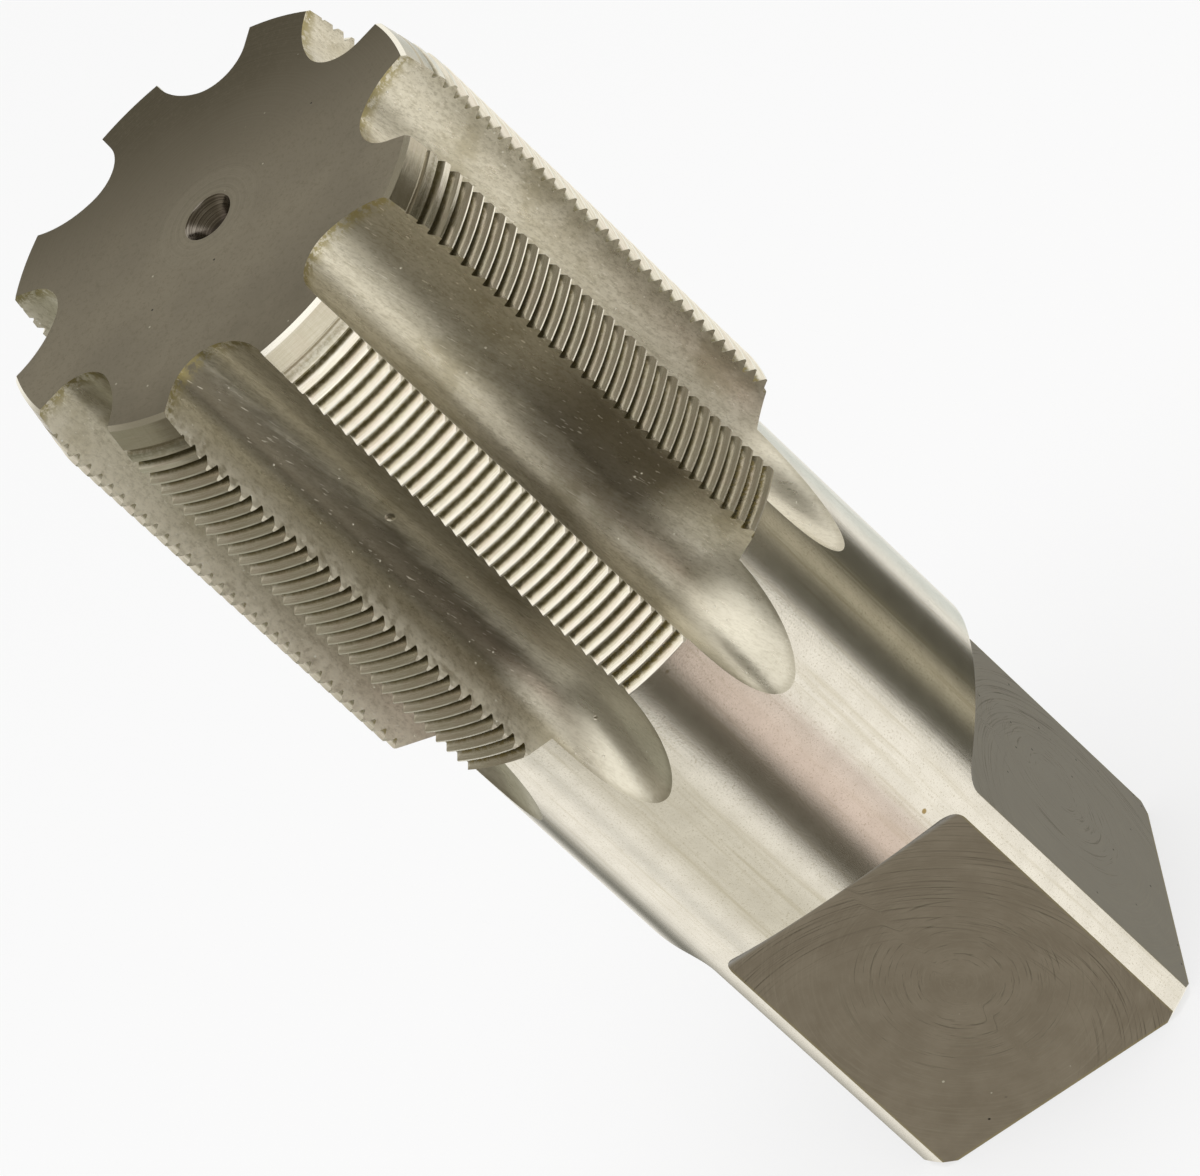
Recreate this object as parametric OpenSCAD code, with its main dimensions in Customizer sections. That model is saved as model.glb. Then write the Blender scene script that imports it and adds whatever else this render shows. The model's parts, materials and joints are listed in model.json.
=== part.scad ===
// Straight-fluted hand tap for a large fine thread, one solid piece of ground high-speed steel.
// It stands on its square drive end; +Z runs along the axis towards the cutting end.
// All lengths are in millimetres and all angles in degrees.

/* [Overall] */
// length from the drive end face to the cutting end face
length = 126.5; // [120:0.5:134]
// plain shank diameter, which is also the corner diameter of the square
shank_d = 41.6; // [41:0.1:42.2]

/* [Thread] */
// outside diameter over the thread crests
thread_d = 49.2; // [48.8:0.05:49.6]
// distance from one crest to the next
pitch = 1.5875; // [1.5:0.0125:1.7]
// distance from the cutting end face back to the last crest
thread_length = 52.7; // [50:0.1:55]
// bevel round the edge of the cutting end face
edge_bevel = 0.4; // [0.2:0.05:0.6]
// depth below the full thread, on the radius, at which the tapered lead begins
lead_drop = 1.2; // [0.8:0.05:1.6]
// axial length of the tapered lead
lead_length = 6.7; // [5:0.1:9]
// axial length of the cone from the last crest down to the shank
shoulder_length = 2.5; // [2:0.1:4]

/* [Flutes] */
// number of straight flutes round the body
flute_count = 8; // [6:1:9]
// turn of the first land centre from the +X axis
land_turn = 16.95; // [10:0.05:24]
// distance of the flat cutting face from the plane through the axis
face_offset = 1.9; // [1.6:0.1:2.2]
// distance of the flute floor from the axis
floor_r = 16.55; // [16:0.05:17.2]
// radius at the foot of the cutting face
root_r = 4.2; // [3.6:0.1:4.6]
// radius of the hollow heel side of the flute
heel_r = 8.8; // [8.6:0.05:9.1]
// height of the middle of the heel radius above the plane through the axis
heel_offset = 5.7; // [5.5:0.05:5.9]
// radius of the wheel that leaves the flute run-out
wheel_r = 38; // [34:1:44]

/* [Square drive] */
// distance across the flats of the square
square_af = 31.24; // [30.6:0.02:31.8]
// length of the full flats from the drive end face
square_length = 33.8; // [31:0.1:37]
// radius in the foot of the step above each flat
step_r = 3; // [2:0.1:4]
// slope of the step above each flat, measured from the axis
step_slope = 57; // [50:1:65]
// turn of the knee where the step leaves the radius in its foot
step_break = 8; // [6:1:10]
// chamfer round the drive end
end_chamfer = 0.8; // [0.4:0.1:1.4]

/* [Centre holes] */
// mouth diameter of the centre hole in the cutting end
front_centre_d = 5.2; // [4.6:0.1:6]
// mouth diameter of the centre hole in the drive end
back_centre_d = 6.4; // [5.6:0.1:7.2]
// angle across the cone of both centre holes
centre_cone = 60; // [58:1:62]
// diameter of the drilled pilot at the bottom of both centre holes
pilot_d = 2; // [1.6:0.1:2.4]
// depth of the drilled pilot below the cone
pilot_length = 3; // [2:0.5:5]
// angle across the drill point at the end of the pilot
pilot_point = 118; // [112:1:124]

/* [Hidden] */
$fn = 96;
// how far each cut runs past the surface that it opens
over = 1;
shank_r = shank_d / 2;
crest_r = thread_d / 2;
lead_r = crest_r - lead_drop;
front_r = lead_r - edge_bevel;
flat_w = pitch / 8;
tooth_h = pitch * sqrt(3) / 2 * 6 / 8;
ridge_count = ceil(thread_length / pitch) + 1;
last_z = length - thread_length;
shoulder_z = last_z - flat_w / 2 - shoulder_length;
runout_z = last_z + pitch / 2;
runout_sweep = 60;
flute_step = 360 / flute_count;
// middle of the root radius, tangent inside the heel radius and to the cutting face
root_y = face_offset + root_r;
heel_x = floor_r + heel_r;
root_x = heel_x - sqrt(pow(heel_r - root_r, 2) - pow(root_y - heel_offset, 2));
// turn from the plane through the axis to the cutting edge and on to the heel edge
edge_turn = asin(face_offset / crest_r);
heel_dist = norm([heel_x, heel_offset]);
heel_turn = atan2(heel_offset, heel_x)
    + acos((pow(crest_r, 2) + pow(heel_dist, 2) - pow(heel_r, 2)) / (2 * crest_r * heel_dist));
land_angle = flute_step - (heel_turn - edge_turn);
flute_turn = land_turn + land_angle / 2 - edge_turn;
flat_x = square_af / 2;

// half section of the threaded body: a stack of thread ridges above the cone down to the shank
module thread_section() {
    profile = [
        [crest_r, -flat_w / 2],
        [crest_r, flat_w / 2],
        [crest_r - tooth_h, (pitch - flat_w) / 2],
        [crest_r - tooth_h, (pitch + flat_w) / 2]];
    top_z = last_z + ridge_count * pitch;
    polygon(concat(
        [[0, shoulder_z], [shank_r, shoulder_z]],
        [for (i = [0 : ridge_count - 1], point = profile) point + [0, last_z + i * pitch]],
        [[crest_r - tooth_h, top_z], [0, top_z]]));
}

// outer limit of the body: tapered lead behind the bevelled edge of the end face
module body_limit() {
    taper = lead_drop / lead_length;
    polygon([
        [0, shoulder_z - over],
        [crest_r + over, shoulder_z - over],
        [crest_r + over, length - lead_length - over / taper],
        [lead_r, length - edge_bevel],
        [front_r, length],
        [0, length]]);
}

// half section of the plain shank with its end chamfer
module shank_section() {
    polygon([
        [0, 0],
        [shank_r - end_chamfer, 0],
        [shank_r, end_chamfer],
        [shank_r, shoulder_z],
        [0, shoulder_z]]);
}

// half section of a centre hole with its pilot, mouth at z = 0, going up
module centre_section(mouth_d) {
    slope = tan(centre_cone / 2);
    cone_h = (mouth_d - pilot_d) / 2 / slope;
    point_h = pilot_d / 2 / tan(pilot_point / 2);
    polygon([
        [0, -over],
        [mouth_d / 2 + over * slope, -over],
        [pilot_d / 2, cone_h],
        [pilot_d / 2, cone_h + pilot_length],
        [0, cone_h + pilot_length + point_h]]);
}

// outline of one flute: x runs out from the axis, y is the way round from the cutting face
module flute_outline() {
    inner_x = floor_r - over;
    difference() {
        intersection() {
            translate([heel_x, heel_offset]) circle(r = heel_r);
            translate([inner_x, face_offset]) square([crest_r + 2 * over - inner_x, 2 * heel_r]);
        }
        difference() {
            polygon([
                [root_x, face_offset - over],
                [root_x, root_y],
                [inner_x, root_y + (root_y - heel_offset) * (root_x - inner_x) / (heel_x - root_x)],
                [inner_x, face_offset - over]]);
            translate([root_x, root_y]) circle(r = root_r);
        }
    }
}

// straight part of one flute, from the last thread groove up through the end face
module flute_cut() {
    translate([0, 0, runout_z]) linear_extrude(length - runout_z + over) flute_outline();
}

// run-out that the round wheel leaves below the straight part of one flute
module runout_cut() {
    wheel_x = wheel_r + floor_r;
    translate([wheel_x, 0, runout_z]) rotate([90, 0, 0]) rotate([0, 0, 180])
        rotate_extrude(angle = runout_sweep) translate([wheel_x, 0]) rotate(180) flute_outline();
}

// cut for one flat and the step above it: x runs out from the axis, y is up the axis
module flat_section() {
    round_x = flat_x + step_r;
    chord_r = step_r * cos(step_break);
    chord_x = round_x - chord_r * cos(step_slope);
    chord_z = square_length + chord_r * sin(step_slope);
    top_x = shank_r + over;
    polygon([
        [flat_x, -over],
        [flat_x, square_length],
        [round_x, square_length],
        [chord_x, chord_z],
        [top_x, chord_z + (top_x - chord_x) / tan(step_slope)],
        [top_x, -over]]);
    translate([round_x, square_length]) circle(r = step_r);
}

// one milled flat, cut right across the shank
module flat_cut() {
    rotate([90, 0, 0]) linear_extrude(shank_d + 2 * over, center = true) flat_section();
}

// the whole tap in one solid: a turned blank, cut by the flutes, the flats and the centre holes
module tap() {
    color([0.55, 0.53, 0.48]) difference() {
        union() {
            rotate_extrude() intersection() {
                thread_section();
                body_limit();
            }
            rotate_extrude() shank_section();
        }
        for (i = [0 : flute_count - 1])
            rotate([0, 0, flute_turn + i * flute_step]) flute_cut();
        for (i = [0 : flute_count - 1])
            rotate([0, 0, flute_turn + i * flute_step]) runout_cut();
        for (i = [0 : 3])
            rotate([0, 0, i * 90]) flat_cut();
        rotate_extrude() centre_section(back_centre_d);
        translate([0, 0, length]) mirror([0, 0, 1]) rotate_extrude() centre_section(front_centre_d);
    }
}

tap();
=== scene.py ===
# %% [markdown]
# A straight-fluted thread tap, about 126 mm long, ground from one bar of high-speed steel.
# It was turned, threaded, fluted by a round grinding wheel and squared by a face mill, and the model
# is made in the same order: a turned blank, a thread, then cutters that leave their own surfaces.
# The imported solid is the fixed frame. It already has the true sizes, so every size below is a real
# one in millimetres, and the ground surface made here replaces the solid and stays inside its box.

import json
import math

import bmesh
import bpy
from mathutils import Matrix, Vector

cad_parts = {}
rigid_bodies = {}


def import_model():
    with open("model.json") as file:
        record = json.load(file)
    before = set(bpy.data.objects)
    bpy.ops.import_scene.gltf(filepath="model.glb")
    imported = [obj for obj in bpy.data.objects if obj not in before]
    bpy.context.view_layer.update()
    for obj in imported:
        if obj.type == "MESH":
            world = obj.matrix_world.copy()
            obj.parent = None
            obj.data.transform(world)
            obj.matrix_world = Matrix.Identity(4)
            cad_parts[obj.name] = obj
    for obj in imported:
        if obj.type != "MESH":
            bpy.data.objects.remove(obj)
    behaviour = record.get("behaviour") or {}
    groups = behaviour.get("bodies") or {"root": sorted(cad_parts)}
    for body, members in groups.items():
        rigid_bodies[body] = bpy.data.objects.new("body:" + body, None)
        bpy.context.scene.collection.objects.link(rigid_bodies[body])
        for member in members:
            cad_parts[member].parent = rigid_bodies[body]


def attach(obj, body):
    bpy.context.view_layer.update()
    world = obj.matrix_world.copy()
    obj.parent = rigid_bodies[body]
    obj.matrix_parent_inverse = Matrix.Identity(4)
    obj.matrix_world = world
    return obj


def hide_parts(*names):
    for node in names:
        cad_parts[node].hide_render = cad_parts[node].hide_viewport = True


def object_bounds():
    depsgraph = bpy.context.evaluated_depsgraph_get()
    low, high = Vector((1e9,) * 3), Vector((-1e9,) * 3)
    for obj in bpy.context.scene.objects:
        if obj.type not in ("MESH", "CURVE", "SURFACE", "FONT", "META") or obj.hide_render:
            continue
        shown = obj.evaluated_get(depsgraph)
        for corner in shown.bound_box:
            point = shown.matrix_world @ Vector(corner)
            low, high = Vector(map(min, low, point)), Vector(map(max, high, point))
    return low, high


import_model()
cad_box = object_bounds()
MM = 0.001
TURN = 2 * math.pi
print("frame", [round(x / MM, 2) for v in cad_box for x in v])

# %% [markdown]
# The camera comes first, because every later choice of light depends on it. The photograph was taken
# from far away with a long lens, so the tap hardly tapers. The tap stands upright in this frame, and
# the camera is rolled until the tap lies across the picture as it does in the photograph.

# %% Place the camera
CAMERA_PLACE = Vector((348.12, -846.52, 679.79)) * MM
CAMERA_AIM = Vector((-0.57, -0.23, 63.87)) * MM
CAMERA_ROLL = math.radians(-47.287)
PHOTO_WIDTH_PX = 1200
FOCAL_PX = 11882
CENTRE_SHIFT_PX = (-27.7, 25.7)
SENSOR_MM = 36
FAR_CLIP = 20

camera_data = bpy.data.cameras.new("camera")
camera_data.sensor_width = SENSOR_MM
camera_data.lens = FOCAL_PX / PHOTO_WIDTH_PX * SENSOR_MM
camera_data.shift_x = CENTRE_SHIFT_PX[0] / PHOTO_WIDTH_PX
camera_data.shift_y = CENTRE_SHIFT_PX[1] / PHOTO_WIDTH_PX
camera_data.clip_end = FAR_CLIP
camera = bpy.data.objects.new("camera", camera_data)
bpy.context.scene.collection.objects.link(camera)
aim = (CAMERA_AIM - CAMERA_PLACE).to_track_quat("-Z", "Y").to_matrix()
rolled = aim @ Matrix.Rotation(CAMERA_ROLL, 3, "Z")
camera.matrix_world = Matrix.Translation(CAMERA_PLACE) @ rolled.to_4x4()
bpy.context.scene.camera = camera
print("lens", round(camera_data.lens, 1), "mm")

# %% [markdown]
# The sizes are those of the real tool. A thread of this size has sixteen turns to the inch, so the
# pitch is 25.4 / 16 mm. The tooth depth follows from the pitch and the 60 degree thread form: a sharp
# tooth would be 0.866 of the pitch high, and a quarter of that is cut off, an eighth at each end.

# %% Name the sizes
LENGTH = cad_box[1].z
CREST_R = 24.6 * MM
PITCH = 25.4 / 16 * MM
TOOTH_H = PITCH * math.sqrt(3) / 2 * 6 / 8
FLANK_SLOPE = math.tan(math.radians(60 / 2))
FLAT_W = PITCH / 8
THREAD_LENGTH = 52.7 * MM
LAST_Z = LENGTH - THREAD_LENGTH
FRONT_R = 23.0 * MM
LEAD_R = 23.4 * MM
LEAD_LENGTH = 6.7 * MM
SHOULDER_LENGTH = 2.5 * MM
SHANK_R = 20.8 * MM
OVER = 1 * MM
WELD = 0.0005 * MM
SPECK = 0.0002 * MM
TOUCH = 0.01 * MM
print("tooth depth", round(TOOTH_H / MM, 3), "mm, last crest at", round(LAST_Z / MM, 2), "mm")

# %% [markdown]
# Every shape starts as a row of edges and is spun or pushed into a surface. OVER is how far a cutter
# runs past what it cuts. WELD joins corners that should be one, SPECK clears away edges that are too
# short to matter, and TOUCH is how near a point has to be to count as lying in a plane.

# %% Small helpers for mesh work


def path(bm, points):
    """A row of edges through points given as (out from the axis, up the axis)."""
    verts = [bm.verts.new((r, 0, z)) for r, z in points]
    edges = [bm.edges.new(pair) for pair in zip(verts, verts[1:])]
    return verts + edges


def open_edges(bm):
    """The edges that have only one face."""
    return [e for e in bm.edges if e.is_boundary]


def only_verts(geom):
    """The corners among mixed parts of a mesh."""
    return [v for v in geom if isinstance(v, bmesh.types.BMVert)]


def weld(bm):
    """Join what meets and shade every face smooth."""
    bmesh.ops.remove_doubles(bm, verts=bm.verts, dist=WELD)
    bmesh.ops.dissolve_degenerate(bm, edges=bm.edges, dist=SPECK)
    for face in bm.faces:
        face.smooth = True


def finish_mesh(bm, name):
    """Weld the mesh, turn its faces outwards and hand it to a new object."""
    weld(bm)
    bmesh.ops.recalc_face_normals(bm, faces=bm.faces)
    print(name, len(bm.faces), "faces,", len(open_edges(bm)), "open edges")
    mesh = bpy.data.meshes.new(name)
    bm.to_mesh(mesh)
    bm.free()
    obj = bpy.data.objects.new(name, mesh)
    bpy.context.scene.collection.objects.link(obj)
    return obj


def copies(bm, count):
    """Stand copies of the whole mesh round the axis, count of them in all."""
    first = bm.verts[:] + bm.edges[:] + bm.faces[:]
    for number in range(1, count):
        copy = bmesh.ops.duplicate(bm, geom=first)["geom"]
        bmesh.ops.rotate(bm, verts=only_verts(copy), cent=(0, 0, 0),
                         matrix=Matrix.Rotation(TURN / count * number, 3, "Z"))


def turned(name, points, steps=288):
    """A solid turned from a half section that starts and ends on the axis."""
    bm = bmesh.new()
    bmesh.ops.spin(bm, geom=path(bm, points), cent=(0, 0, 0), axis=(0, 0, 1), dvec=(0, 0, 0),
                   angle=TURN, steps=steps, use_merge=True, use_duplicate=False)
    return finish_mesh(bm, name)


# %% [markdown]
# The thread is a true right-hand helix. One way is a curve with a swept profile, but a curve turns its
# profile along the way. Here a column of ridges is spun round the axis, and each step of the spin also
# lifts it by a share of the pitch. After a full turn each ridge meets the next one, so the column joins
# itself into one endless ridge. HELIX_TURN and HELIX_Z set where the crests fall on the front land.

# %% Grind the thread
THREAD_STEPS = 144
CREST_ROUND = 0.05 * MM
HELIX_TURN = math.radians(-64.35)
HELIX_Z = LENGTH - 3.469 * MM
TAIL = 4 * MM  # how far the blank runs on below the last crest
TURNS_ABOVE = 5
SEAM = 0.001 * MM
PLANE_SLACK = 0.0001 * MM


def tooth_profile(z):
    """The points of one ridge whose crest is at z, from the groove below it up its lower flank."""
    root_r = CREST_R - TOOTH_H
    shoulder_r = CREST_R - CREST_ROUND
    drop = CREST_ROUND * FLANK_SLOPE
    return [(root_r, z - PITCH / 2),
            (root_r, z - PITCH / 2 + FLAT_W / 2),
            (shoulder_r, z - FLAT_W / 2 - drop),
            (CREST_R, z - FLAT_W / 2 + CREST_ROUND / 2),
            (CREST_R, z + FLAT_W / 2 - CREST_ROUND / 2),
            (shoulder_r, z + FLAT_W / 2 + drop),
            (root_r, z + PITCH / 2 - FLAT_W / 2)]


bm = bmesh.new()
first_turn = math.floor((LAST_Z - HELIX_Z - TAIL - OVER) / PITCH)
column = []
for turn in range(first_turn, TURNS_ABOVE):
    column += tooth_profile(HELIX_Z + turn * PITCH)
geom = path(bm, column)
bmesh.ops.spin(bm, geom=geom, cent=(0, 0, 0), axis=(0, 0, 1), dvec=(0, 0, PITCH / THREAD_STEPS),
               angle=TURN, steps=THREAD_STEPS, use_merge=False, use_duplicate=False)
bmesh.ops.rotate(bm, verts=bm.verts, cent=(0, 0, 0), matrix=Matrix.Rotation(HELIX_TURN, 3, "Z"))
bmesh.ops.remove_doubles(bm, verts=bm.verts, dist=SEAM)
for height, up in ((LAST_Z - TAIL, -1), (LENGTH + OVER, 1)):
    bmesh.ops.bisect_plane(bm, geom=bm.verts[:] + bm.edges[:] + bm.faces[:], dist=PLANE_SLACK,
                           plane_co=(0, 0, height), plane_no=(0, 0, up), clear_outer=True)
    rim = [e for e in open_edges(bm) if all(abs(v.co.z - height) < TOUCH for v in e.verts)]
    bmesh.ops.contextual_create(bm, geom=rim)
thread = finish_mesh(bm, "thread_blank")

# %% [markdown]
# A limit solid stands for the turned blank: the end face with its bevelled edge, the tapered lead that
# lets the tap start, the full diameter and the cone down to the shank. Only what lies inside it stays.

# %% Turn the blank
SHOULDER_Z = LAST_Z - FLAT_W / 2 - SHOULDER_LENGTH
SHOULDER_SLOPE = (CREST_R - SHANK_R) / SHOULDER_LENGTH
INSIDE = 0.4 * MM  # how far the cone runs on inside the shank, so that the two overlap
TAPER = (CREST_R - LEAD_R) / LEAD_LENGTH
limit = turned("limit", [
    (0, SHOULDER_Z - INSIDE / SHOULDER_SLOPE),
    (SHANK_R - INSIDE, SHOULDER_Z - INSIDE / SHOULDER_SLOPE),
    (CREST_R + OVER, SHOULDER_Z + (CREST_R + OVER - SHANK_R) / SHOULDER_SLOPE),
    (CREST_R + OVER, LENGTH - LEAD_LENGTH - OVER / TAPER),
    (LEAD_R, LENGTH - (LEAD_R - FRONT_R)),
    (FRONT_R, LENGTH),
    (0, LENGTH)])

END_CHAMFER = 0.8 * MM
shank = turned("shank", [
    (0, 0),
    (SHANK_R - END_CHAMFER, 0),
    (SHANK_R, END_CHAMFER),
    (SHANK_R, LAST_Z + OVER),
    (0, LAST_Z + OVER)])

# %% [markdown]
# A flute is the path of a grinding wheel with a rounded edge. Its outline has a flat side, which
# becomes the cutting face, a small radius in the corner and a larger hollow that backs off the next
# land. The outline is pushed straight up past the end face, and below the last groove it is spun about
# the wheel's own axle, which gives the spoon-shaped run-out in the shank.

# %% Shape the flute cutters
FLUTES = 8
LAND_TURN = math.radians(16.95)
FACE_OFFSET = 1.9 * MM
FLOOR_R = 16.55 * MM
ROOT_R = 4.2 * MM
HEEL_R = 8.8 * MM
HEEL_OFFSET = 5.7 * MM
WHEEL_R = 38 * MM
RUNOUT_Z = LAST_Z + PITCH / 2
RUNOUT_TURN = math.radians(50)
RUNOUT_STEPS = 40
ROOT_STEPS = 24
HEEL_STEPS = 36
BEVEL_REACH = 0.42 * MM * 0.8  # how far the fine bevel of the cutting edge comes in along the face

root_y = FACE_OFFSET + ROOT_R
heel_x = FLOOR_R + HEEL_R
root_x = heel_x - math.sqrt((HEEL_R - ROOT_R) ** 2 - (root_y - HEEL_OFFSET) ** 2)
touch_turn = math.atan2(root_y - HEEL_OFFSET, root_x - heel_x)
edge_turn = math.asin(FACE_OFFSET / CREST_R)
heel_dist = math.hypot(heel_x, HEEL_OFFSET)
heel_turn = math.atan2(HEEL_OFFSET, heel_x) + math.acos(
    (CREST_R ** 2 + heel_dist ** 2 - HEEL_R ** 2) / (2 * CREST_R * heel_dist))
land_angle = TURN / FLUTES - (heel_turn - edge_turn)
flute_turn = LAND_TURN + land_angle / 2 - edge_turn
print("each land is", round(math.degrees(land_angle), 1), "degrees wide")


def arc_on(bm, vert, centre, angle, steps, axis=(0, 0, 1)):
    """Spin one vertex into an arc and give back the last vertex."""
    made = bmesh.ops.spin(bm, geom=[vert], cent=centre, axis=axis, dvec=(0, 0, 0),
                          angle=angle, steps=steps, use_merge=False, use_duplicate=False)
    return only_verts(made["geom_last"])[0]


def line_on(bm, vert, point):
    """Draw one edge to a point and give back the new vertex."""
    new = bm.verts.new(point)
    bm.edges.new((vert, new))
    return new


def flute_outline(bm, z):
    """The closed outline of the wheel's edge, seen along the tap."""
    bevel_x = math.sqrt(CREST_R ** 2 - FACE_OFFSET ** 2) - BEVEL_REACH
    outer_x = heel_x + 2 * OVER
    reach = outer_x - bevel_x
    start = bm.verts.new((outer_x, FACE_OFFSET - reach, z))
    vert = line_on(bm, start, (bevel_x, FACE_OFFSET, z))
    vert = line_on(bm, vert, (root_x, FACE_OFFSET, z))
    vert = arc_on(bm, vert, (root_x, root_y, z), touch_turn - TURN * 0.75, ROOT_STEPS)
    vert = arc_on(bm, vert, (heel_x, HEEL_OFFSET, z), TURN / 4 - touch_turn, HEEL_STEPS)
    vert = line_on(bm, vert, (outer_x, HEEL_OFFSET + HEEL_R, z))
    bm.edges.new((vert, start))
    bmesh.ops.remove_doubles(bm, verts=bm.verts, dist=WELD)


bm = bmesh.new()
flute_outline(bm, RUNOUT_Z)
outline = bm.edges[:]
grown = bmesh.ops.extrude_edge_only(bm, edges=outline)["geom"]
bmesh.ops.translate(bm, verts=only_verts(grown), vec=(0, 0, LENGTH + OVER - RUNOUT_Z))
bmesh.ops.spin(bm, geom=outline, cent=(WHEEL_R + FLOOR_R, 0, RUNOUT_Z), axis=(0, 1, 0), dvec=(0, 0, 0),
               angle=-RUNOUT_TURN, steps=RUNOUT_STEPS, use_merge=False, use_duplicate=False)
bmesh.ops.holes_fill(bm, edges=open_edges(bm), sides=0)
bmesh.ops.recalc_face_normals(bm, faces=bm.faces)
bmesh.ops.rotate(bm, verts=bm.verts, cent=(0, 0, 0), matrix=Matrix.Rotation(flute_turn, 3, "Z"))
copies(bm, FLUTES)
flutes = finish_mesh(bm, "flute_cutters")

# %% [markdown]
# The drive end is square because a tap wrench has to turn it. Each flat is milled straight across the
# round bar, and the mill leaves a rounded foot and a short ramp where it lifts out of the metal.

# %% Shape the flat cutters
FLAT_X = 15.62 * MM
SQUARE_LENGTH = 33.8 * MM
STEP_R = 3 * MM
STEP_SLOPE = math.radians(57)
STEP_STEPS = 14
FLATS = 4

bm = bmesh.new()
reach = SHANK_R + 2 * OVER
start = bm.verts.new((FLAT_X, -reach, -OVER))
vert = line_on(bm, start, (FLAT_X, -reach, SQUARE_LENGTH))
foot = (FLAT_X + STEP_R, -reach, SQUARE_LENGTH)
vert = arc_on(bm, vert, foot, STEP_SLOPE, STEP_STEPS, axis=(0, 1, 0))
ramp_end = reach - vert.co.x
vert = line_on(bm, vert, (reach, -reach, vert.co.z + ramp_end / math.tan(STEP_SLOPE)))
vert = line_on(bm, vert, (reach, -reach, -OVER))
bm.edges.new((vert, start))
face = bmesh.ops.contextual_create(bm, geom=bm.edges)["faces"]
grown = bmesh.ops.extrude_face_region(bm, geom=face)["geom"]
bmesh.ops.translate(bm, verts=only_verts(grown), vec=(0, 2 * reach, 0))
copies(bm, FLATS)
flats = finish_mesh(bm, "flat_cutters")

# %% [markdown]
# A tap is ground between lathe centres, so each end has a centre hole: a 60 degree cone for the centre
# to sit in and a small drilled pilot below it, which keeps the centre's tip clear.

# %% Turn the centre hole cutters
PILOT_R = 1 * MM
PILOT_LENGTH = 3 * MM
HOLE_RIM = 0.12 * MM
HOLE_STEPS = 96
CONE_SLOPE = math.tan(math.radians(60 / 2))
POINT_SLOPE = math.tan(math.radians(118 / 2))
FRONT_HOLE_R = 2.6 * MM
BACK_HOLE_R = 3.2 * MM


def centre_cutter(name, mouth_r, face_z, way):
    """The cutter of one centre hole whose mouth lies at face_z; way is +1 where the hole goes up."""
    cone_h = (mouth_r - PILOT_R) / CONE_SLOPE
    pilot_h = cone_h + PILOT_LENGTH
    return turned(name, [
        (0, face_z - way * OVER),
        (mouth_r + OVER, face_z - way * OVER),
        (mouth_r - HOLE_RIM, face_z + way * HOLE_RIM),
        (PILOT_R, face_z + way * cone_h),
        (PILOT_R, face_z + way * pilot_h),
        (0, face_z + way * (pilot_h + PILOT_R / POINT_SLOPE))], steps=HOLE_STEPS)


front_hole = centre_cutter("front_centre_cutter", FRONT_HOLE_R, LENGTH, -1)
back_hole = centre_cutter("back_centre_cutter", BACK_HOLE_R, 0, 1)

# %% [markdown]
# Each tool leaves its own surface, so each cutter carries its own finish into the cut it makes. The
# slots are in one order on every mesh, and a cut face keeps the slot of the cutter that made it.

# %% List the finishes
FINISHES = ["ground_thread", "turned_end", "ground_flute",
            "polished_shank", "milled_flat", "centre_hole"]
THREAD, END, FLUTE, SHANK, FLAT, HOLE = range(len(FINISHES))
finishes = [bpy.data.materials.new(name) for name in FINISHES]
cutters = {thread: THREAD, limit: THREAD, shank: SHANK, flutes: FLUTE, flats: FLAT, front_hole: HOLE,
           back_hole: HOLE}
for piece, slot in cutters.items():
    for finish in finishes:
        piece.data.materials.append(finish)
    for face in piece.data.polygons:
        at_end = face.center.z > LENGTH - TOUCH or face.center.z < TOUCH
        face.material_index = END if at_end and piece in (limit, shank) else slot

# %% [markdown]
# The cuts are made in the order of the workshop. Each one is a boolean modifier, so the six of them
# can be worked out in one go, and the finished body is taken from the result as a mesh of its own.
# The limit comes first, while the thread is still a plain helix, and the centre holes come last.

# %% Cut the blank
for cutter, operation in ((limit, "INTERSECT"), (shank, "UNION"), (flutes, "DIFFERENCE"),
                          (flats, "DIFFERENCE"), (front_hole, "DIFFERENCE"), (back_hole, "DIFFERENCE")):
    step = thread.modifiers.new(cutter.name, "BOOLEAN")
    step.object = cutter
    step.operation = operation
    step.solver = "MANIFOLD"
cut = thread.evaluated_get(bpy.context.evaluated_depsgraph_get())
cut_mesh = bpy.data.meshes.new_from_object(cut)
for piece in cutters:
    bpy.data.objects.remove(piece)
used = [face.material_index for face in cut_mesh.polygons]
print("cut body:", len(used), "faces,", {name: used.count(slot) for slot, name in enumerate(FINISHES)})

# %% [markdown]
# A ground tool has crisp edges between smooth walls. Every face is shaded smooth, and an edge is marked
# sharp wherever two walls meet at more than a few degrees, which finds the thread, the lands and the
# square without naming any of them.

# %% Sharpen the edges and name the piece
SHARP_ANGLE = math.radians(22)

bm = bmesh.new()
bm.from_mesh(cut_mesh)
weld(bm)
bm.to_mesh(cut_mesh)
print("loose ends:", len([e for e in bm.edges if not e.is_manifold]))
bm.free()
cut_mesh.set_sharp_from_angle(angle=SHARP_ANGLE)
cut_mesh.name = "ground_tap"
tap = bpy.data.objects.new("ground_tap", cut_mesh)
bpy.context.scene.collection.objects.link(tap)
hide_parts("tap")
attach(tap, "root")

# %% [markdown]
# Every finish is worked out with sums on the place of a point, in millimetres: how far out from the
# axis it is, how far round and how far up. Writing such sums node by node is long, so a small class
# lets Python's own signs build them. One method makes every node, with its type, its settings and the
# values of its sockets.

# %% A small language for shader sums


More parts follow.
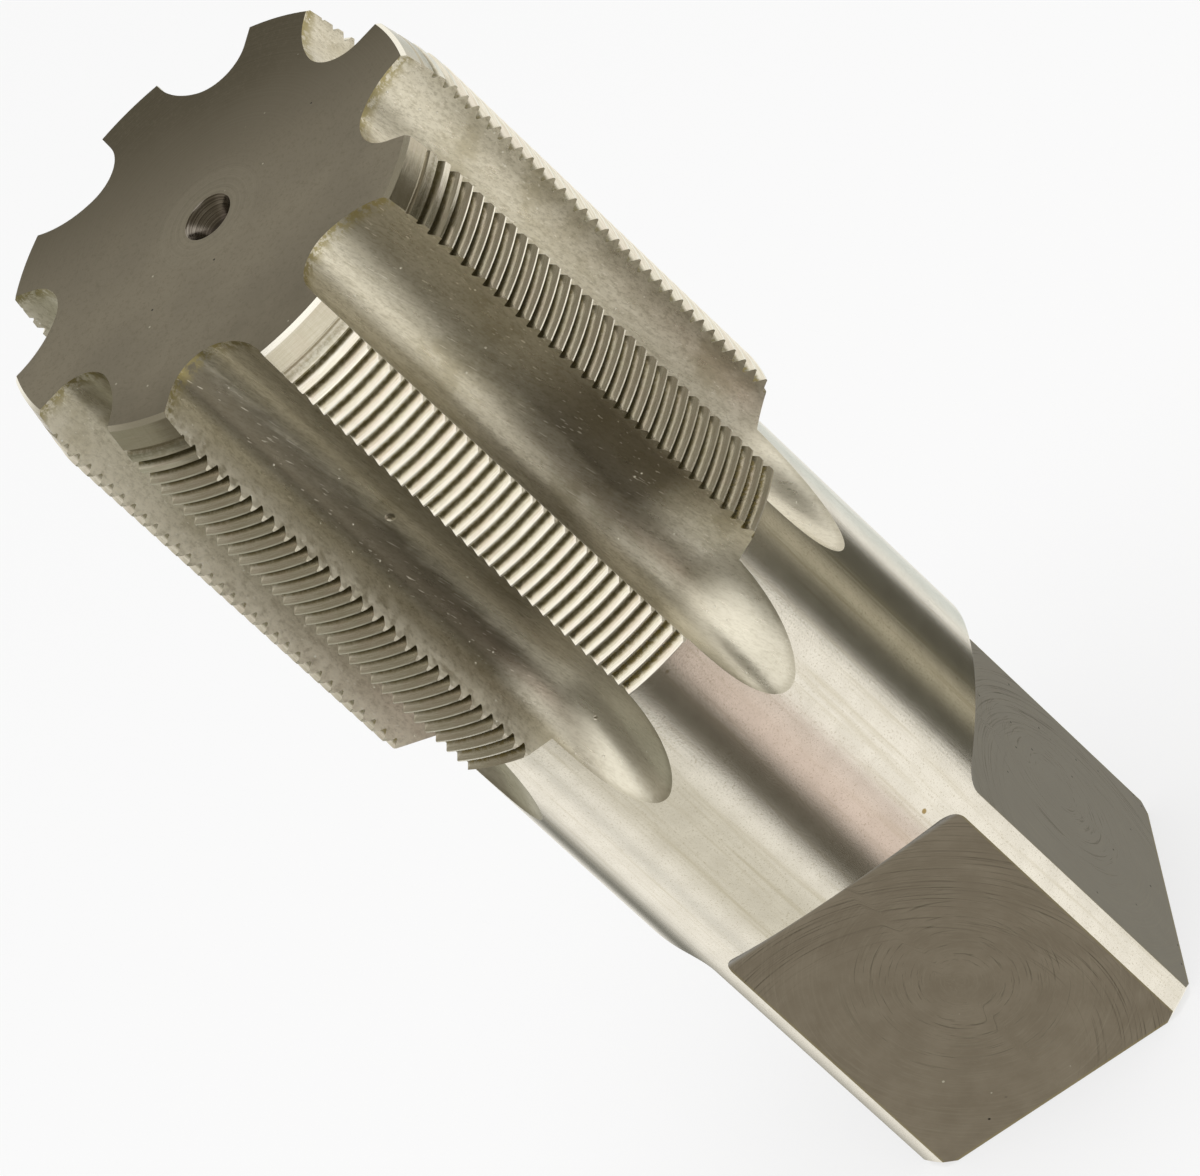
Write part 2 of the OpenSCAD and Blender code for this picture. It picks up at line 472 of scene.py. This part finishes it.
class Wire:
    """One output in a material's node tree; a sum of wires builds the nodes that work it out."""

    def __init__(self, tree, socket):
        self.tree = tree
        self.socket = socket

    def node(self, kind, settings, values, out=0):
        """Make a node, set it up, fill its sockets with numbers or wires and give back one output."""
        made = self.tree.nodes.new(kind)
        for name, value in settings.items():
            setattr(made, name, value)
        for name, value in values.items():
            if isinstance(value, Wire):
                self.tree.links.new(value.socket, made.inputs[name])
            else:
                made.inputs[name].default_value = value
        return Wire(self.tree, made.outputs[out])

    def maths(self, operation, *others):
        return self.node("ShaderNodeMath", {"operation": operation}, dict(enumerate((self, *others))))

    def __add__(self, other):
        return self.maths("ADD", other)

    __radd__ = __add__

    def __sub__(self, other):
        return self.maths("SUBTRACT", other)

    def __rsub__(self, other):
        return (self * -1) + other

    def __mul__(self, other):
        return self.maths("MULTIPLY", other)

    __rmul__ = __mul__

    def __truediv__(self, other):
        return self.maths("DIVIDE", other)

    def power(self, other):
        return self.maths("POWER", other)

    def least(self, other):
        return self.maths("MINIMUM", other)

    def most(self, other):
        return self.maths("MAXIMUM", other)

    def size(self):
        return self.maths("ABSOLUTE")

    def wrap(self, high, low):
        """Bring a turn back into the range from low to high."""
        return self.maths("WRAP", high, low)

    def share(self, low, high):
        """Rise softly from 0 at low to 1 at high; low above high makes it fall."""
        return self.node("ShaderNodeMapRange", {"interpolation_type": "SMOOTHSTEP"},
                         {"Value": self, "From Min": low, "From Max": high})

    def line(self, place, width):
        """1 on a line at this place and 0 beyond half its width."""
        return (self - place).size().share(width / 2, width / 4)

    def tint(self, low, high):
        """A colour that goes from low to high as this value goes from 0 to 1."""
        low, high = (c if isinstance(c, Wire) else (*c, 1) for c in (low, high))
        return self.node("ShaderNodeMix", {"data_type": "RGBA"}, {0: self, 6: low, 7: high}, 2)

    def ray(self, name):
        """1 for one kind of ray, such as Is Camera Ray, and 0 for all others."""
        path_of_light = self.tree.nodes.new("ShaderNodeLightPath")
        return Wire(self.tree, path_of_light.outputs[name])


class Place(Wire):
    """The point being shaded, in millimetres, with its distance from the axis and its turn round it."""

    def __init__(self, material):
        material.use_nodes = True
        tree = material.node_tree
        self.shader = tree.nodes["Principled BSDF"]
        start = Wire(tree, tree.nodes.new("ShaderNodeTexCoord").outputs["Object"])
        mm = start.node("ShaderNodeVectorMath", {"operation": "SCALE"}, {0: start, "Scale": 1 / MM})
        super().__init__(tree, mm.socket)
        self.x = self.node("ShaderNodeSeparateXYZ", {}, {0: self}, 0)
        self.y = self.node("ShaderNodeSeparateXYZ", {}, {0: self}, 1)
        self.z = self.node("ShaderNodeSeparateXYZ", {}, {0: self}, 2)
        self.r = (self.x * self.x + self.y * self.y).power(0.5)
        self.turn = self.y.maths("ARCTAN2", self.x)

    def at(self, x, y, z):
        """A vector put together from three values."""
        return self.node("ShaderNodeCombineXYZ", {}, {0: x, 1: y, 2: z})

    def noise(self, vector, scale, detail=2, rough=0.5):
        """Smooth random cloud, about 0.5 on average, whose grains are 1/scale mm across."""
        return self.node("ShaderNodeTexNoise", {}, {"Vector": vector, "Scale": scale, "Detail": detail,
                                                    "Roughness": rough})

    def specks(self, vector, scale, share, edge=0.3):
        """Round spots, one per cell of 1/scale mm, shown only in a share of the cells."""
        cells = {"Vector": vector, "Scale": scale}
        near = self.node("ShaderNodeTexVoronoi", {}, cells)
        hue = self.node("ShaderNodeTexVoronoi", {}, cells, 1)
        chance = self.node("ShaderNodeSeparateColor", {}, {0: hue})
        return near.share(edge, edge * 0.6) * chance.share(1 - share, 1 - share + 0.01)

    def spots(self, size, *places):
        """1 within half the size of any of these places, fading to 0 at the size."""
        near, *others = [self.node("ShaderNodeVectorMath", {"operation": "DISTANCE"},
                                   {0: self, 1: place}, 1) for place in places]
        for other in others:
            near = near.least(other)
        return near.share(size, size / 2)

    def feed(self, socket_name, value):
        """Connect a value to one socket of the steel."""
        self.tree.links.new(value.socket, self.shader.inputs[socket_name])

    def finish(self, colour, rough, relief):
        """Connect the finished colour, roughness and relief (a height in mm) to the steel."""
        self.shader.inputs["Metallic"].default_value = 1.0
        self.feed("Base Color", colour)
        self.feed("Roughness", rough)
        self.feed("Normal", self.node("ShaderNodeBump", {}, {"Distance": MM, "Height": relief}))


# %% [markdown]
# The shank is ground round and polished. What is left are hair-fine rings from the stone, a dusty
# grain, a few lengthwise streaks where it was wiped, and here and there a spot of rust.

# %% Polish on the shank
place = Place(finishes[SHANK])
around_mm = place.turn * (SHANK_R / MM)
grain = place.noise(place, 5, 3, 0.7)
wiped = place.noise(place.at(around_mm, 0, place.z / 30), 0.9, 4, 0.65)
rings = place.noise(place.at(place.turn * 3, 0, place.z * 8), 1, 2)
mottle = place.noise(place, 0.35, 4, 0.6)
spots = place.specks(place, 0.5, 0.03, 0.16)
colour = mottle.share(0.3, 0.7).tint((0.80, 0.77, 0.70), (0.88, 0.85, 0.78))
colour = wiped.share(0.5, 0.72).tint(colour, (0.72, 0.68, 0.58))
colour = grain.share(0.54, 0.68).tint(colour, (0.66, 0.62, 0.53))
colour = spots.tint(colour, (0.40, 0.30, 0.14))
place.finish(colour, 0.13 + 0.05 * wiped + 0.05 * grain, grain * 0.0042 + rings * 0.001)

# %% [markdown]
# The flutes keep the streaks of a coarser wheel, which run nearly lengthwise and turn a little as the
# wheel swept past. Oil and grinding dust stay in them as olive patches, and some streaks are scratches.
# The share of a turn past the start of a flute tells its cutting face (a low share) from its hollow
# heel (a high one). With it, dark colour is laid low down in two flutes, along the foot of the cutting
# face in one and on the heel and floor of the next. It is painted shade and a painted dark reflection,
# with some dried oil. The run-outs, which no chip reaches, are clean.

# %% Grinding marks in the flutes
MEAN_R_MM = 18
LEFT_FLUTE = math.radians(-97)
NEAR_FLUTE = math.radians(-53)

place = Place(finishes[FLUTE])
around_mm = place.turn * MEAN_R_MM
slant = around_mm + place.z * 0.16
hair = place.noise(place.at(slant * 6, place.r * 3, place.z * 1.1), 1, 3, 0.85)
fine = place.noise(place.at(slant * 2, place.r, place.z / 5), 1, 5, 0.7)
streak = place.noise(place.at(slant * 1.2, place.r, place.z / 12), 1, 4, 0.6)
patches = place.noise(place, 0.11, 5, 0.66)
dust = place.noise(place.at(around_mm, place.r, place.z), 1.3, 4, 0.7)
dots = place.specks(place, 1.4, 0.05, 0.2)
pits = place.specks(place, 0.33, 0.05, 0.1)
knocks = place.spots(0.55, (13.2, -11.0, 117.6), (-9.3, -14.5, 103.6), (-2.3, -17.1, 100.1),
                     (-6.8, -15.8, 94.0), (-7.7, -15.4, 74.1))
scratch = place.noise(place.at(slant * 9, place.r * 4, place.z / 2 + around_mm), 1, 1).share(0.70, 0.74)
sector = (place.turn - flute_turn).wrap(TURN / FLUTES, 0)
# edge: a pale, less metallic band on the cutting face next to the cutting edge, a painted highlight
edge = place.r.share(20.5, 24) * sector.share(0.135, 0.115) * (0.3 + 0.7 * dust.share(0.62, 0.4))
ragged = sector + (patches - 0.5) * 0.16 + (streak - 0.5) * 0.10
low_down = place.z.share(106, 94)
on_heel = ragged.share(0.33, 0.45) * (0.55 + 0.45 * low_down) * place.z.share(78, 84)
on_floor = ragged.share(0.19, 0.33) * low_down * place.z.share(76, 84) * 0.75
on_foot = ragged.share(0.29, 0.18) * sector.share(0.085, 0.12) * place.z.share(74, 82)
left_flute = (place.turn - LEFT_FLUTE).size().share(0.24, 0.22)
near_flute = (place.turn - NEAR_FLUTE).size().share(0.30, 0.28)
# painted shade and painted dark reflection low in two flutes, with some dried oil
shade_and_oil = (on_foot * left_flute).most(on_heel.most(on_floor) * near_flute)
rim = place.z.share(LENGTH / MM - 2.0, LENGTH / MM - 0.2) * dust.share(0.40, 0.54)
clean = place.z.share(LAST_Z / MM + 2, LAST_Z / MM - 5)
colour = streak.share(0.3, 0.7).tint((0.68, 0.645, 0.55), (0.80, 0.765, 0.67))
colour = (patches.share(0.50, 0.68) * (1 - clean * 0.7)).tint(colour, (0.55, 0.51, 0.40))
colour = (dust.share(0.5, 0.7) * 0.35).tint(colour, (0.50, 0.46, 0.36))
colour = (clean * 0.5).tint(colour, (0.93, 0.90, 0.82))
# a darker line along the rim of the run-outs, painted shade
colour = (clean * place.r.share(20.3, 20.75) * 0.6).tint(colour, (0.48, 0.45, 0.37))
colour = (hair.share(0.42, 0.68) * (0.6 - clean * 0.3)).tint(colour, (0.38, 0.35, 0.27))
colour = (fine.share(0.5, 0.75) * 0.4).tint(colour, (0.90, 0.87, 0.78))
# the dark colour of the painted shade and reflection in two flutes
colour = (shade_and_oil * 0.82).tint(colour, (0.115, 0.098, 0.07))
# the pale colour of the painted highlight along the cutting edge
colour = (edge * 0.8).tint(colour, (0.84, 0.79, 0.66))
colour = (rim * 0.9).tint(colour, (0.36, 0.31, 0.15))
colour = (scratch * 0.7).tint(colour, (0.88, 0.85, 0.78))
colour = dots.tint(colour, (0.92, 0.90, 0.83))
colour = ((pits + knocks) * 0.7).tint(colour, (0.22, 0.19, 0.13))
place.shader.inputs["Anisotropic"].default_value = 0.6
place.finish(colour, 0.22 + 0.14 * fine + 0.14 * edge,
             fine * 0.007 + hair * 0.006 + dust * 0.003 - (dots + pits) * 0.03 - knocks * 0.15)
place.feed("Metallic", 1 - edge * 0.4)

# %% [markdown]
# The thread is ground last, so its flanks are the brightest faces. Cutting oil dries to a yellow-olive
# film in the bottom of the grooves, most of all in the last three, which never cut. The bottom of every
# groove is also painted dark as painted shade, and the crests and the small bevel at the front end are
# painted pale as painted highlights. The lead is a plain cone where the crests were ground away.

# %% Bright flanks on the thread
place = Place(finishes[THREAD])
marks = place.noise(place.at(place.turn * 12, place.r * 8, place.z * 8), 1, 3, 0.6)
crumbs = place.noise(place, 2.4, 4, 0.7)
patches = place.noise(place, 0.3, 3, 0.6)
depth = place.r.share(CREST_R / MM - 0.06, (CREST_R - TOOTH_H) / MM + 0.1)
last_grooves = place.z.share(LAST_Z / MM + 6, LAST_Z / MM + 1)
on_lead = place.z.share(LENGTH / MM - 3.4, LENGTH / MM - 2.6)
# groove_shade: the bottom of every groove painted dark, painted shade
groove_shade = depth.share(0.4, 0.95) * (0.75 + 0.25 * crumbs.share(0.35, 0.6)) * (1 - on_lead)
film = depth.share(0.3, 0.9) * crumbs.share(0.44, 0.6) * (0.25 + 0.75 * last_grooves) * (1 - on_lead)
blush = patches.share(0.45, 0.6)
colour = marks.share(0.35, 0.65).tint((0.80, 0.765, 0.67), (0.92, 0.89, 0.82))
colour = (blush * 0.22).tint(colour, (0.84, 0.72, 0.67))
# the dark colour of the painted shade in the grooves
colour = (groove_shade * 0.92).tint(colour, (0.13, 0.115, 0.06))
# crest: the crests painted near white, a painted highlight
crest = place.r.share(CREST_R / MM - 0.07, CREST_R / MM - 0.02)
colour = (crest * 0.9).tint(colour, (0.97, 0.95, 0.89))
colour = (film * 0.8).tint(colour, (0.38, 0.32, 0.15))
brushed = place.noise(place.at(place.turn * 170, 0, place.z * 0.3), 1, 3, 0.7)
colour = (on_lead * (0.45 + 0.3 * brushed)).tint(colour, (0.36, 0.32, 0.23))
# bevel: the small bevel at the front end painted near white, a painted highlight
bevel = place.z.share(LENGTH / MM - 0.45, LENGTH / MM - 0.35)
colour = bevel.tint(colour, (0.96, 0.94, 0.88))
place.finish(colour, 0.17 + 0.07 * marks + 0.2 * film, marks * 0.004 + crumbs * 0.003)

# %% [markdown]
# The end was faced in a lathe. Its rings are fine, and strongest round the centre hole. The face has
# been handled: dust and small knocks leave pale specks. Its far side, and less its near side, is
# painted darker as a painted reflection of something dark.

# %% Turning marks on the end face
place = Place(finishes[END])
rings = place.noise(place.at(place.r, 0, 0), 5, 3, 0.8)
bold = place.r.line(3.1, 0.5) * 0.4
bold = bold.most(place.r.line(3.9, 0.7) * 0.25).most(place.r.line(5.0, 1.6) * 0.25)
near_hole = place.r.share(9, 3)
patches = place.noise(place, 0.12, 4, 0.6)
grit = place.noise(place, 2.4, 4, 0.8)
dots = place.specks(place, 0.9, 0.09, 0.12)
pits = place.specks(place, 0.55, 0.03, 0.08)
# the far and near sides of the face darkened as a painted reflection of something dark
far_painted_reflection = (place.y + place.x * 0.1 + patches * 8 - 4).share(-4, 22)
near_painted_reflection = (place.y + patches * 6).share(-9, -22) * 0.45
colour = patches.share(0.3, 0.7).tint((0.265, 0.24, 0.195), (0.32, 0.29, 0.235))
# the dark colour of the painted reflection
colour = far_painted_reflection.most(near_painted_reflection).tint(colour, (0.10, 0.085, 0.055))
colour = (grit.share(0.48, 0.68) * 0.4).tint(colour, (0.17, 0.15, 0.11))
pale = rings.share(0.4, 0.75) * (0.12 + 0.2 * near_hole) + bold * 0.4
colour = pale.tint(colour, (0.42, 0.39, 0.32))
colour = dots.tint(colour, (0.60, 0.58, 0.50))
colour = pits.tint(colour, (0.05, 0.045, 0.04))
place.finish(colour, 0.36 + 0.1 * rings + 0.06 * patches, rings * 0.005 + grit * 0.003 - pits * 0.05)

# %% [markdown]
# The flats are milled with a face mill, whose teeth leave arcs round the middle of each flat and wider
# arcs where it came in. They are dull beside the ground steel. A pale yellowish line along the corners
# and the end is a painted highlight, the two flats that face along x are painted lighter and greyer
# than the other two as painted light, and the foot of each flat is a smoother, lighter ramp.

# %% Milling arcs on the flats
place = Place(finishes[FLAT])
on_side = place.x.size().share(15.5, 15.6)
across = on_side.node("ShaderNodeMix", {"data_type": "FLOAT"}, {0: on_side, 2: place.x, 3: place.y})
side = place.x.share(0, 1) * 7 + place.y.share(0, 1) * 13 + on_side * 5


def arcs(middle_across, middle_up, stretch, low, high):
    """Long thin arcs round a middle, picked out of cloud that is stretched along the arcs."""
    step, rise = across - middle_across, (place.z - middle_up) * stretch
    out = (step * step + rise * rise).power(0.5)
    cloud = place.noise(place.at(out * 4.5 + side, step / out * 1.2, rise / out * 1.2), 1, 3, 0.7)
    return cloud.share(low, high), out


swirl, out = arcs(1.3, 18, 0.85, 0.56, 0.66)
swirl = swirl * out.share(13, 8) * out.share(1, 3)
wide, far = arcs(-9, 12, 1, 0.52, 0.68)
wide = wide * far.share(15, 20)
faint, middle_out = arcs(1.3, 18, 0.85, 0.45, 0.75)
fine = place.noise(place.at(middle_out * 5, side + place.z * 0.3, across * 0.3), 1, 3, 0.8)
patches = place.noise(place, 0.25, 4, 0.6)
dots = place.specks(place, 0.8, 0.045, 0.13)
pits = place.specks(place, 0.7, 0.03, 0.12)
ramp = place.z.share(34.6, 35.6)
# corner: a thin line along the corners and the end, a painted highlight
corner = across.size().share(13.45, 13.72).most(place.z.share(0.3, 0.15))
colour = patches.share(0.3, 0.7).tint((0.275, 0.24, 0.19), (0.325, 0.287, 0.232))
# the flats facing along x painted lighter and greyer than the others, painted light
colour = (on_side * 0.7).tint(colour, (0.33, 0.315, 0.28))
cut = (swirl + wide) * (0.2 + 0.55 * patches.share(0.35, 0.6))
colour = cut.least(1).tint(colour, (0.10, 0.085, 0.06))
colour = (faint * 0.25 + fine.share(0.5, 0.7) * 0.3).tint(colour, (0.40, 0.37, 0.30))
# the pale yellowish colour of the painted highlight on the corners
colour = (corner * 0.5).tint(colour, (0.42, 0.37, 0.19))
colour = (ramp * 0.85).tint(colour, (0.50, 0.51, 0.52))
colour = dots.tint(colour, (0.62, 0.60, 0.52))
colour = pits.tint(colour, (0.05, 0.045, 0.035))
place.finish(colour, 0.46 + 0.08 * fine - 0.12 * ramp,
             fine * 0.004 - (swirl + wide) * 0.007 - pits * 0.05 + patches * 0.01)

# %% [markdown]
# The centre holes are drilled and lapped, so their walls are brighter than the end face. Little light
# gets down to the pilot, and it is painted nearly black as painted shade.

# %% Drilled steel in the centre holes
place = Place(finishes[HOLE])
rings = place.noise(place.at(place.r * 5, 0, place.z * 5), 2, 2)
pilot_shade = place.r.share(1.6, 1.1)
colour = rings.share(0.3, 0.7).tint((0.15, 0.13, 0.11), (0.36, 0.33, 0.30))
# the pilot painted nearly black, painted shade
colour = pilot_shade.tint(colour, (0.05, 0.045, 0.04))
place.finish(colour, 0.12 + 0.1 * rings, rings * 0.003)

# %% [markdown]
# Polished steel has almost no colour of its own: it shows the studio round it. Every wall of the tap
# that runs along the axis mirrors one belt of the studio, so the dark and pale bands along the shank
# are cards standing round the table. They could be modelled as boards, but a world that only
# reflections see holds them at any distance, and they blur with the roughness of each finish. Above
# the cards stands a far wall, then a dark sky with a pale window in it, and a bright patch overhead.

# %% Stand the cards round the table
bpy.context.scene.view_settings.view_transform = "Standard"
WHITE = (1.0, 0.97, 0.90)
DARK_SKY = (0.20, 0.18, 0.13)
OVERHEAD = (0.076, -0.248, 0.966)
CARDS = [  # middle and half width in degrees round the axis, softness of the edges, colour
    (-135, 24, 9, (0.72, 0.69, 0.60)),
    (-172, 3, 6, (0.62, 0.61, 0.56)),
    (-67, 12, 7, (0.80, 0.67, 0.60)),
    (-52, 3, 5, (0.60, 0.49, 0.44)),
    (-87, 12, 7, (0.095, 0.083, 0.06)),
    (27, 35, 5, (0.085, 0.08, 0.06)),
    (22, 7, 8, (0.46, 0.42, 0.31)),
    (86, 12, 10, (0.70, 0.73, 0.69)),
    (142, 11, 12, (0.12, 0.12, 0.10))]

world = bpy.data.worlds.new("studio")
bpy.context.scene.world = world
world.use_nodes = True
tree = world.node_tree
way = Wire(tree, tree.nodes.new("ShaderNodeTexCoord").outputs["Generated"])
east, north, up = (way.node("ShaderNodeSeparateXYZ", {}, {0: way}, n) for n in range(3))
around = north.maths("ARCTAN2", east) * (360 / TURN)


def aside(middle):
    """How many degrees the way lies to the side of this one."""
    return (around - middle).wrap(180, -180).size()


studio = way.node("ShaderNodeRGB", {}, {})
studio.socket.default_value = (*WHITE, 1)
for middle, half, soft, colour in CARDS:
    studio = aside(middle).share(half + soft, half - soft).tint(studio, colour)
sky = up.share(0.62, 0.8).tint((0.62, 0.59, 0.50), DARK_SKY)
sky = aside(112).share(70, 40).tint(DARK_SKY, sky)
far_wall = aside(-160).share(65, 50).tint((0.95, 0.92, 0.83), (0.36, 0.33, 0.26))
studio = up.share(-0.48, -0.32).tint(studio, far_wall)
studio = up.share(0.36, 0.5).tint(studio, sky)
overhead = (east * OVERHEAD[0] + north * OVERHEAD[1] + up * OVERHEAD[2]).share(0.87, 0.93)
studio = overhead.tint(studio, (1.15, 1.12, 1.04))


def shine(colour, strength):
    """Light of one colour from the whole world."""
    return way.node("ShaderNodeBackground", {}, {"Color": colour, "Strength": strength})


mirrored, seen = way.ray("Is Glossy Ray"), way.ray("Is Camera Ray")
fill, backdrop = shine((0.9, 0.9, 0.9, 1), 0.6), shine((1, 1, 1, 1), 1.0)
light = way.node("ShaderNodeMixShader", {}, {0: mirrored, 1: fill, 2: shine(studio, 1.0)})
light = way.node("ShaderNodeMixShader", {}, {0: seen, 1: light, 2: backdrop})
tree.links.new(light.socket, tree.nodes["World Output"].inputs["Surface"])
print(len(CARDS), "cards round the table")

# %% [markdown]
# One soft square lamp hangs over the tap and gives the shadow on the paper. Its own mirror image would
# burn out the thread, so reflections leave it out and see a bright patch of sky in its place.

# %% Hang the lamp
LAMP_PLACE = Vector((0, -60, 900)) * MM
LAMP_AIM = Vector((0, 0, 60)) * MM
LAMP_SIZE = 500 * MM
LAMP_WATTS = 5

lamp_data = bpy.data.lights.new("overhead", "AREA")
lamp_data.shape = "SQUARE"
lamp_data.size = LAMP_SIZE
lamp_data.energy = LAMP_WATTS
lamp = bpy.data.objects.new("overhead", lamp_data)
lamp.visible_glossy = False
bpy.context.scene.collection.objects.link(lamp)
aim = (LAMP_AIM - LAMP_PLACE).to_track_quat("-Z", "Y").to_matrix()
lamp.matrix_world = Matrix.Translation(LAMP_PLACE) @ aim.to_4x4()
print("lamp", round((LAMP_PLACE - LAMP_AIM).length / MM), "mm from its aim")

# %% [markdown]
# The thread stands higher than the shank, so what it mirrors lies further out on the table. Pieces of
# grey and white card lie there in rings. Like the cards round the table they are only for reflections,
# so the camera doesn't see them and they neither light nor shade the paper.

# %% Lay cards on the table
NEAR, EDGE, MIDDLE, OUTER, FAR = 127, 166, 212, 440, 3000
TABLE_CARDS = [  # inner and outer radius in mm, from and to in degrees round the axis, colour
    (NEAR, EDGE, -152, -97, (0.11, 0.10, 0.075)),
    (EDGE, FAR, -152, -97, (0.18, 0.165, 0.125)),
    (NEAR, FAR, -184, -152, (0.34, 0.33, 0.26)),
    (NEAR, FAR, -216, -184, (0.50, 0.49, 0.42)),
    (NEAR, EDGE, -97, -66, (0.10, 0.088, 0.065)),
    (NEAR, EDGE, -66, -8, (0.17, 0.15, 0.11)),
    (NEAR, EDGE, -8, 62, (0.26, 0.23, 0.17)),
    (EDGE, MIDDLE, -97, -84, (0.25, 0.23, 0.18)),
    (EDGE, MIDDLE, -84, -72, (0.45, 0.42, 0.34)),
    (EDGE, MIDDLE, -72, -60, (0.20, 0.18, 0.13)),
    (EDGE, MIDDLE, -60, -40, (0.95, 0.90, 0.78)),
    (EDGE, MIDDLE, -40, -8, (1.15, 1.10, 0.97)),
    (EDGE, MIDDLE, -8, 62, (1.15, 1.10, 0.98)),
    (MIDDLE, FAR, -97, -24, (1.15, 1.12, 1.02)),
    (MIDDLE, OUTER, -24, 4, (0.09, 0.08, 0.05)),
    (MIDDLE, OUTER, 4, 62, (0.92, 0.88, 0.78)),
    (OUTER, FAR, -24, 13, (0.09, 0.08, 0.05)),
    (OUTER, FAR, 13, 62, (0.92, 0.88, 0.78))]
CARD_Z = 0.3 * MM
CARD_STEPS = 24


def card(number, inner, outer, first, last, colour):
    """A flat ring sector on the table that shines evenly, for reflections alone."""
    first, last = math.radians(first), math.radians(last)
    bm = bmesh.new()
    bmesh.ops.spin(bm, geom=path(bm, [(inner * MM, CARD_Z), (outer * MM, CARD_Z)]), cent=(0, 0, 0),
                   axis=(0, 0, 1), dvec=(0, 0, 0), angle=last - first, steps=CARD_STEPS,
                   use_merge=False, use_duplicate=False)
    bmesh.ops.rotate(bm, verts=bm.verts, cent=(0, 0, 0), matrix=Matrix.Rotation(first, 3, "Z"))
    obj = finish_mesh(bm, "card_" + str(number))
    glow = bpy.data.materials.new(obj.name)
    glow.use_nodes = True
    shader = glow.node_tree.nodes["Principled BSDF"]
    shader.inputs["Base Color"].default_value = (0, 0, 0, 1)
    shader.inputs["Specular IOR Level"].default_value = 0
    shader.inputs["Emission Color"].default_value = (*colour, 1)
    shader.inputs["Emission Strength"].default_value = 1
    obj.data.materials.append(glow)
    obj.visible_camera = obj.visible_diffuse = obj.visible_shadow = False


for number, sizes in enumerate(TABLE_CARDS):
    card(number, *sizes)

# %% [markdown]
# The photograph's background is plain white. The floor is white paper that catches the tap's shadow,
# and for the camera it is mixed with an even white, so the shadow stays light and the paper doesn't go
# grey. It is left out of the reflections, because the cards stand there for what the steel mirrors.

# %% Lay the floor
FLOOR_HALF = 1.5
FLOOR_Z = -0.1 * MM
EVEN_WHITE = 0.72

bm = bmesh.new()
bmesh.ops.create_grid(bm, x_segments=1, y_segments=1, size=FLOOR_HALF)
bmesh.ops.translate(bm, verts=bm.verts, vec=(0, 0, FLOOR_Z))
floor = finish_mesh(bm, "floor")
paper = bpy.data.materials.new("white_paper")
floor.data.materials.append(paper)
place = Place(paper)
place.shader.inputs["Base Color"].default_value = (0.8, 0.8, 0.8, 1)
place.shader.inputs["Roughness"].default_value = 0.9
lit = Wire(place.tree, place.shader.outputs[0])
white = place.node("ShaderNodeEmission", {}, {"Color": (1, 1, 1, 1), "Strength": 1.0})
seen = place.ray("Is Camera Ray") * EVEN_WHITE
both = place.node("ShaderNodeMixShader", {}, {0: seen, 1: lit, 2: white})
place.tree.links.new(both.socket, place.tree.nodes["Material Output"].inputs["Surface"])
floor.visible_glossy = False
